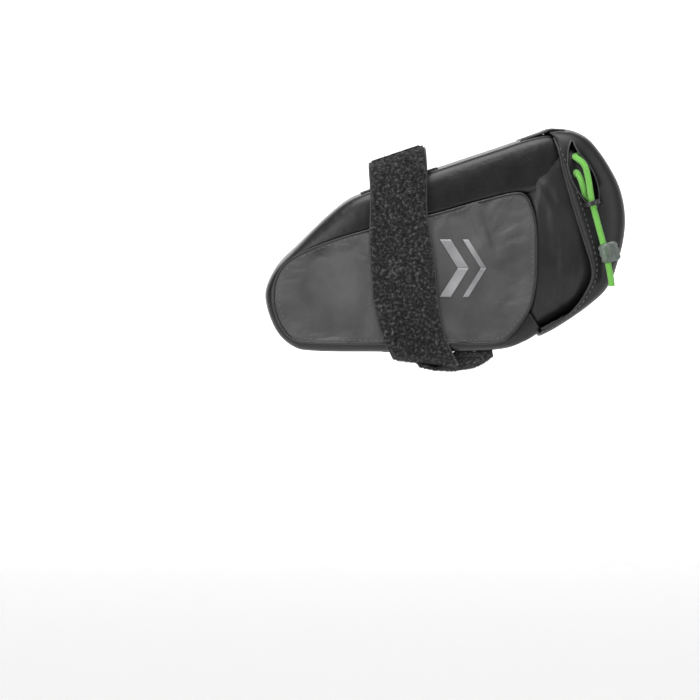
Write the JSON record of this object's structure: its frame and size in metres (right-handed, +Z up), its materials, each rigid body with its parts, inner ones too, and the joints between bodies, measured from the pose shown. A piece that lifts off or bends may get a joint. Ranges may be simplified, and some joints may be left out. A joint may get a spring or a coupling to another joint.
{
  "type": "saddle bag",
  "caption": "Small wedge-shaped saddle bag in black coated fabric, with a hook-and-loop strap over the rails and a rear flap closed by a green elastic cord.",
  "frame": {"origin": "midway between the two saddle rails, at the height of their centres, where the strap passes over them", "axes": "+X to the rear of the bicycle, +Z up, the bag's left side at -Y"},
  "size_m": [0.1504, 0.0693, 0.0984],
  "materials": {
    "matte_fabric": "matte",
    "coated_fabric": "satin",
    "throat_fabric": "satin",
    "flap_fabric": "satin",
    "edge_trim": "satin",
    "loop_pile": "fuzzy",
    "hook_tape": "matte",
    "stiffener": "matte",
    "grip_rubber": "matte",
    "reflective_print": "satin",
    "elastic_cord": "satin",
    "clear_sleeve": "translucent"
  },
  "bodies": {
    "root": {"side_panel_left": "matte_fabric", "side_panel_right": "matte_fabric", "gusset_band": "coated_fabric", "seam_weld_left": "coated_fabric", "seam_weld_right": "coated_fabric", "reflective_print_left": "reflective_print", "reflective_print_right": "reflective_print", "rear_throat": "throat_fabric", "mouth_hoop": "stiffener", "base_stiffener": "stiffener", "top_stiffener": "stiffener", "rail_pad": "grip_rubber", "strap": "loop_pile", "strap_anchor_patch": "coated_fabric", "flap_fold": "flap_fabric"},
    "flap": {"flap_shell": "flap_fabric", "slot_rim": "edge_trim", "flap_binding": "edge_trim", "flap_board": "stiffener", "closure_cord": "elastic_cord", "closure_cord_return": "elastic_cord", "slot_bridge": "edge_trim"},
    "cord_grip": {"cord_sleeve": "clear_sleeve"},
    "strap_end": {"strap_tail": "loop_pile", "strap_hook_patch": "hook_tape"}
  },
  "joints": [
    {"name": "flap_hinge", "type": "hinge", "parent": "root", "child": "flap", "pos_m": [0.0612, 0, 0.0176], "axis": [0, -1, 0], "range_deg": [0, 85]},
    {"name": "sleeve_slide", "type": "slide", "parent": "flap", "child": "cord_grip", "axis": [0.2715, 0, -0.9624], "range_m": [-0.011, 0]},
    {"name": "strap_peel", "type": "hinge", "parent": "root", "child": "strap_end", "pos_m": [0.0195, 0.0176, -0.0802], "axis": [1, 0, 0], "range_deg": [0, 100]}
  ]
}
